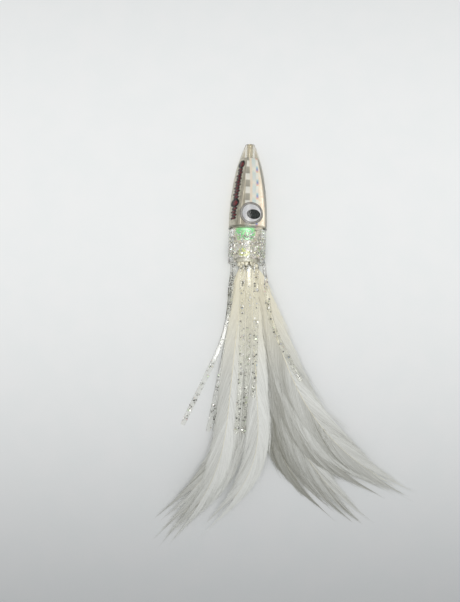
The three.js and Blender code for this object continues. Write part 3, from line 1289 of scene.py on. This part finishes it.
@dataclass
class Route:
    """A strand's centre line in the part's frame, as arrays by station."""

    strand: Strand
    start: float
    steps: int
    root_reach: float = 4.0
    x: np.ndarray = field(init=False)
    y: np.ndarray = field(init=False)
    angle: np.ndarray = field(init=False)
    along: np.ndarray = field(init=False)

    def __post_init__(self) -> None:
        """Walk the route."""
        stretch = self.strand.length / self.steps
        angles = self.strand.headings((np.arange(self.steps) + 0.5) / self.steps)
        aside, back = np.cumsum(np.sin(angles)) * stretch, np.cumsum(np.cos(angles)) * stretch
        self.x = self.strand.start_x + np.concatenate([[0.0], aside])
        self.y = -self.start - np.concatenate([[0.0], back])
        self.angle = np.append(angles, angles[-1])
        self.along = np.linspace(0, self.strand.length, self.steps + 1)

    def height(self, x: np.ndarray, y: np.ndarray) -> np.ndarray:
        """Find the underside's height above the floor.

        Args:
            x: Places in plan, across.
            y: Places in plan, along the lure.

        Returns:
            The heights.
        """
        fall, sag_start, sag_end = self.strand.run.value
        reach = np.hypot(x, y + PIVOT)
        drop = eased((reach - self.root_reach) / (fall - self.root_reach))
        sag = eased((reach - sag_start) / (sag_end - sag_start))
        above = (self.strand.root - self.strand.layer) * (1 - drop)
        return self.strand.layer + above - (self.strand.layer - self.strand.end) * sag

    def plan(self, along: np.ndarray, aside: float | np.ndarray = 0.0) -> tuple[np.ndarray, np.ndarray]:
        """Turn places along and beside the strand into places in plan.

        Args:
            along: Stations from the root.
            aside: How far to the side each place is.

        Returns:
            Places across and along the lure.
        """
        held = np.clip(along, 0, self.strand.length)
        x, y = np.interp(held, self.along, self.x), np.interp(held, self.along, self.y)
        angle = np.interp(held, self.along, self.angle)
        past = along - held
        x = x + np.sin(angle) * past + np.cos(angle) * aside
        y = y - np.cos(angle) * past + np.sin(angle) * aside
        return x, y

    def world(self, x: np.ndarray, y: np.ndarray, z: np.ndarray) -> np.ndarray:
        """Turn places in plan and heights into places in the part's frame."""
        origin = strand_origin()
        return np.stack([origin.x + x, origin.y + y, z], axis=-1)


# ---------------------------------------------------------------- the skirt's legs


@dataclass
class SkirtLegs:
    """The clear legs that run back from the hood, with their glitter."""

    axis: HeadAxis
    start: float = 17.6
    route_start: float = 19.5
    thickness: float = 0.7
    turn_length: float = 16.0
    rings: int = 34
    flakes_per_mm: float = 1.1
    section: tuple[Point, ...] = (
        (-1.0, 0.0),
        (-0.92, 0.42),
        (0.0, 0.5),
        (0.92, 0.42),
        (1.0, 0.0),
        (0.92, -0.42),
        (0.0, -0.5),
        (-0.92, -0.42),
    )
    bend_start: float = 18.5
    bend_end: float = 32.5

    def build(self) -> None:
        """Make and dress every leg."""
        rows = [(body, strand) for body, strands in LEGS.items() for strand in strands]
        for number, (body, strand) in enumerate(rows):
            route = Route(strand, self.route_start, 80)
            chance = random.Random(40 + number)
            self.make_leg(route, chance)
            self.make_glitter(body, route, chance, 60 + number)

    def frame_at(self, route: Route, along: np.ndarray) -> tuple[np.ndarray, np.ndarray, np.ndarray]:
        """Find a leg's centre, sideways and upward directions at stations.

        Args:
            route: The leg's route.
            along: The stations.

        Returns:
            Centres, and two sets of unit directions.
        """
        x, y = route.plan(along)
        centre = route.world(x, y, route.height(x, y) + self.thickness / 2)
        ahead = np.gradient(centre, axis=0)
        ahead /= np.linalg.norm(ahead, axis=1, keepdims=True)
        # At its root a leg lies round the hood, and it turns flat over the first stretch.
        axis_height = self.axis.point(-self.start, 0, 0).z
        lean = math.atan2(route.strand.start_x, route.strand.root + self.thickness / 2 - axis_height)
        if abs(lean) > math.pi / 2:
            lean -= math.copysign(math.pi, lean)
        roll = lean * (1 - eased(along / self.turn_length))
        side = np.cross(np.array([0.0, 0.0, 1.0]), ahead)
        side /= np.linalg.norm(side, axis=1, keepdims=True)
        up = np.cross(ahead, side)
        c, s = np.cos(roll)[:, None], np.sin(roll)[:, None]
        return centre, side * c - up * s, up * c + side * s

    def make_leg(self, route: Route, chance: random.Random) -> None:
        """Build one leg's clear strip.

        Args:
            route: Its route.
            chance: Its own chances.
        """
        strand = route.strand
        lead = self.route_start - self.start
        along = np.append(np.linspace(-lead, strand.length - 1.0, self.rings), strand.length - 0.3)
        centre, side, up = self.frame_at(route, along)
        phase = chance.uniform(0, math.tau)
        width = strand.width / 2 * (1 + 0.05 * np.sin(along / 9 + phase))
        width[-2:] *= (0.96, 0.72)
        rings = [centre + side * (a * width)[:, None] + up * b * self.thickness for a, b in self.section]
        points = np.stack(rings, axis=1).reshape(-1, 3)
        name = f"clear_leg_{strand.name}"
        piece = new_piece(name, mesh_of(name, points, tube_faces(len(along), len(self.section))))
        outward(piece)
        add_modifier(piece, "SUBSURF", levels=2, render_levels=2)
        settle(piece)
        finish_piece(piece, VINYL, "skirt_vinyl", f"skirt_leg_{strand.name}")
        bend_from_head(piece)

    def make_glitter(self, body: str, route: Route, chance: random.Random, seed: int) -> None:
        """Scatter glitter through one leg.

        Args:
            body: The body it swings with; not used.
            route: The leg's route.
            chance: The leg's own chances.
            seed: What seeds the flakes' lean.
        """
        strand = route.strand
        glitter = Glitter(seed)
        total = int(strand.length * self.flakes_per_mm)
        spots = np.unique([chance.uniform(0, strand.length - 1.0) for _ in range(total)])
        for middle, aside, above in zip(*self.frame_at(route, spots)):
            sideways = chance.uniform(-0.8, 0.8) * strand.width / 2
            lift = chance.uniform(-0.25, 0.25) * self.thickness
            glitter.add(Vector(middle + aside * sideways + above * lift), Vector(above))
        name = f"clear_leg_{strand.name}_glitter"
        piece = new_piece(name, glitter.mesh(name, 0.8, 1.5))
        finish_piece(piece, GLITTER, "skirt_vinyl")
        bend_from_head(piece)


# ---------------------------------------------------------------- the feathers


@dataclass
class Hackles:
    """The two bunches of hackle feathers."""

    start: float = 20.5
    quill_lead: float = 6.5
    quill_radius: float = 0.34
    barbs: int = 1900
    barb_width: float = 0.22
    stations: int = 8
    web_half: float = 2.6
    lock_length: float = 2.3
    frayed: float = 0.1
    arch: float = 0.35
    # Each feather's level: its own tone, with painted shade where the left bunch lies over the right bunch.
    tones_and_painted_shade: tuple[float, ...] = (0.6, 0.72, 0.52, 0.76, 0.8, 0.3, 0.32, 0.56, 0.46, 0.74, 0.6)
    # How far the tips are lightened in each bunch: painted light.
    tip_painted_light_left: float = 0.16
    tip_painted_light_right: float = 0.12
    cream_length: float = 58.0
    bend_start: float = 17.5
    bend_end: float = 35.5

    def build(self) -> None:
        """Make and dress every feather."""
        rows = [(body, strand) for body, strands in FEATHERS.items() for strand in strands]
        for number, (body, strand) in enumerate(rows):
            route = Route(strand, self.start, 120)
            self.make_vane(route, number)
            self.make_quill(route)

    def half_width(self, strand: Strand, share: np.ndarray) -> np.ndarray:
        """Half the feather's width at shares of its length: full and webby low down, then a long taper."""
        low = self.web_half + (strand.width / 2 - self.web_half) * eased((share - 0.02) / 0.4)
        return low * (1 - 0.75 * eased((share - 0.7) / 0.32))

    def make_vane(self, route: Route, number: int) -> None:
        """Grow one feather's barbs as fine tapered ribbons.

        Args:
            route: Its route.
            number: Its place in the row, which seeds its chances.
        """
        strand = route.strand
        chance = np.random.default_rng(100 + number)
        total = self.barbs
        tip = np.sort(chance.uniform(0.04, 1.0, total))
        side = np.where(chance.random(total) < 0.5, -1.0, 1.0)
        # Every barb leaves the quill, bends to run along it and ends on the feather's edge.
        onward = (12 + 17 * eased(tip / 0.4)) * chance.uniform(0.75, 1.25, total)
        onward = np.minimum(onward, tip * strand.length * 0.85 + 2)
        # Barbs hold together in locks, with a split here and there.
        lock = np.floor(tip * strand.length / self.lock_length + side * 0.25).astype(int)
        lock_tone = chance.normal(0, 1, lock.max() + 2)[lock]
        lock_reach = chance.normal(0, 1, lock.max() + 2)[lock]
        frayed = chance.random(total) < self.frayed
        edge = self.half_width(strand, tip) * (1 + 0.03 * chance.normal(0, 1, total) + 0.03 * lock_reach)
        edge *= np.where(frayed, 1 + 0.22 * np.abs(chance.normal(0, 1, total)), 1.0)
        steps = np.linspace(0, 1, self.stations)[None, :]
        past = chance.exponential(2.2, total) * (tip > 0.88)
        along = (tip * strand.length + past)[:, None] - onward[:, None] * (1 - steps)
        aside = (side * edge)[:, None] * np.sin(steps * math.pi / 2) ** 0.9
        curl = chance.normal(0, 0.1, total)[:, None] * steps**2
        x, y = route.plan(along, aside)
        z = route.height(x, y) + 0.1 + self.arch * (1 - (aside / 6.5) ** 2) + curl
        spot = route.world(x, y, np.maximum(z, 0.12))
        upward = np.array([0.0, 0.0, 1.0])
        flat = np.cross(np.gradient(spot, axis=1), upward)
        flat /= np.linalg.norm(flat, axis=2, keepdims=True) + 1e-12
        roll = chance.normal(0, 0.12, total)[:, None, None]
        lean = flat * np.cos(roll) + upward * np.sin(roll)
        half = self.barb_width / 2 * (1 - 0.85 * steps**1.8)[:, :, None]
        half = half * chance.uniform(0.7, 1.3, total)[:, None, None]
        points = np.stack([spot - lean * half, spot + lean * half], axis=2).reshape(-1, 3)
        first = np.arange(total)[:, None] * self.stations * 2 + np.arange(self.stations - 1)[None, :] * 2
        first = first.ravel()
        faces = np.stack([first, first + 1, first + 3, first + 2], axis=1)
        name = f"feather_{strand.name}"
        mesh = mesh_of(name, points, faces.tolist())
        reach = np.hypot(x, y + PIVOT).repeat(2)
        add_values(mesh, "cream", 0.9 * (1 - eased((reach - 8) / self.cream_length)))
        # The wave and the locks vary the barbs' own colour; the side term lightens one vane half and the tip
        # term lightens the tips: painted light.
        streaks_and_painted_light = 0.06 * np.sin(tip * strand.length / 9 + number) + 0.11 * side + 0.09 * lock_tone
        lift = self.tip_painted_light_left if strand.run is Run.LEFT else self.tip_painted_light_right
        streaks_and_painted_light += lift * eased((tip - 0.62) / 0.38)
        tone_and_painted_light = np.clip(self.tones_and_painted_shade[number] + streaks_and_painted_light + 0.1 * chance.normal(0, 1, total), 0, 1)
        add_values(mesh, "tone_and_painted_light", np.repeat(tone_and_painted_light, self.stations * 2))
        piece = new_piece(name, mesh)
        finish_piece(piece, BARB, "hackle", f"hackle_{strand.name}")
        bend_from_head(piece)

    def make_quill(self, route: Route) -> None:
        """Draw the feather's quill as a tapered curve, tied in at the post.

        Args:
            route: Its route.
        """
        along = np.linspace(-self.quill_lead, route.strand.length * 0.97, 48)
        x, y = route.plan(along)
        spots = route.world(x, y, np.maximum(route.height(x, y) + 0.5, 0.2)) * MM
        name = f"quill_{route.strand.name}"
        curve = bpy.data.curves.new(name, "CURVE")
        curve.dimensions = "3D"
        curve.bevel_depth = self.quill_radius * MM
        curve.bevel_resolution = 1
        curve.use_fill_caps = True
        spline = curve.splines.new("POLY")
        spline.points.add(len(spots) - 1)
        for point, spot, share in zip(spline.points, spots, np.linspace(0, 1, len(spots)), strict=True):
            point.co = (*map(float, spot), 1.0)
            point.radius = float(1.0 - 0.9 * share**0.7)
        holder = bpy.data.objects.new(name, curve)
        bpy.context.scene.collection.objects.link(holder)
        graph = bpy.context.evaluated_depsgraph_get()
        mesh = bpy.data.meshes.new_from_object(holder.evaluated_get(graph), depsgraph=graph)
        bpy.data.objects.remove(holder)
        bpy.data.curves.remove(curve)
        set_smooth(mesh)
        piece = new_piece(name, mesh)
        finish_piece(piece, QUILL, "hackle")
        bend_from_head(piece)


# ---------------------------------------------------------------- studio


@dataclass
class Studio:
    """Floor, soft light and camera. Sizes in metres, apart from the floor's."""

    floor_half: float = 4000.0
    room_colour: str = "f4f6f8"
    room_strength: float = 0.42
    lamp_size: Point = (0.8, 0.34)
    lamp_spread: float = 50.0
    lamp_energy: float = 0.52
    lamp_colour: Spot = (1.0, 0.995, 0.98)
    lamp_ahead: float = 0.045
    lamp_height: float = 0.39
    aim_ahead: float = 0.028
    camera_right: float = -0.0094
    camera_back: float = 0.0361
    camera_height: float = 0.35
    lens: float = 40.2
    sensor: float = 36.0

    def build(self) -> None:
        """Set up the studio."""
        self.make_floor()
        self.make_room()
        self.make_lamp()
        self.make_camera()

    def make_floor(self) -> None:
        """Lay a large pale floor."""
        half = self.floor_half
        corners = [(-half, -half, 0), (half, -half, 0), (half, half, 0), (-half, half, 0)]
        floor = new_piece("floor", mesh_of("floor", corners, [[0, 1, 2, 3]]))
        dress(floor, PAPER)

    def make_room(self) -> None:
        """Fill the room with even light from all round."""
        world = bpy.data.worlds.new("studio")
        bpy.context.scene.world = world
        world.use_nodes = True
        ground = world.node_tree.nodes["Background"]
        ground.inputs["Color"].default_value = linear(self.room_colour)
        ground.inputs["Strength"].default_value = self.room_strength

    def make_lamp(self) -> None:
        """Hang a wide soft box over the nose."""
        lamp = bpy.data.lights.new("soft_box", "AREA")
        lamp.shape = "RECTANGLE"
        lamp.size, lamp.size_y = self.lamp_size
        lamp.spread = math.radians(self.lamp_spread)
        lamp.energy = self.lamp_energy
        lamp.color = self.lamp_colour
        box = bpy.data.objects.new("soft_box", lamp)
        bpy.context.scene.collection.objects.link(box)
        middle = strand_origin() * MM
        box.location = middle + Vector((0, self.lamp_ahead, self.lamp_height))
        aim = middle + Vector((0, self.aim_ahead, 0)) - box.location
        box.rotation_euler = aim.to_track_quat("-Z", "Y").to_euler()

    def make_camera(self) -> None:
        """Look straight down on the lure."""
        data = bpy.data.cameras.new("camera")
        data.lens = self.lens
        data.sensor_width = self.sensor
        data.clip_start = 0.01
        data.clip_end = 50.0
        camera = bpy.data.objects.new("camera", data)
        bpy.context.scene.collection.objects.link(camera)
        offset = Vector((self.camera_right, -self.camera_back, self.camera_height))
        camera.location = strand_origin() * MM + offset
        bpy.context.scene.camera = camera
        bpy.context.scene.view_settings.view_transform = "Standard"


def main() -> None:
    """Build the lure and its studio."""
    axis = HeadAxis.found()
    Studio().build()
    BulletHead(axis).build()
    Collar(axis).build()
    SkirtLegs(axis).build()
    Hackles().build()


if __name__ == "__main__":
    main()
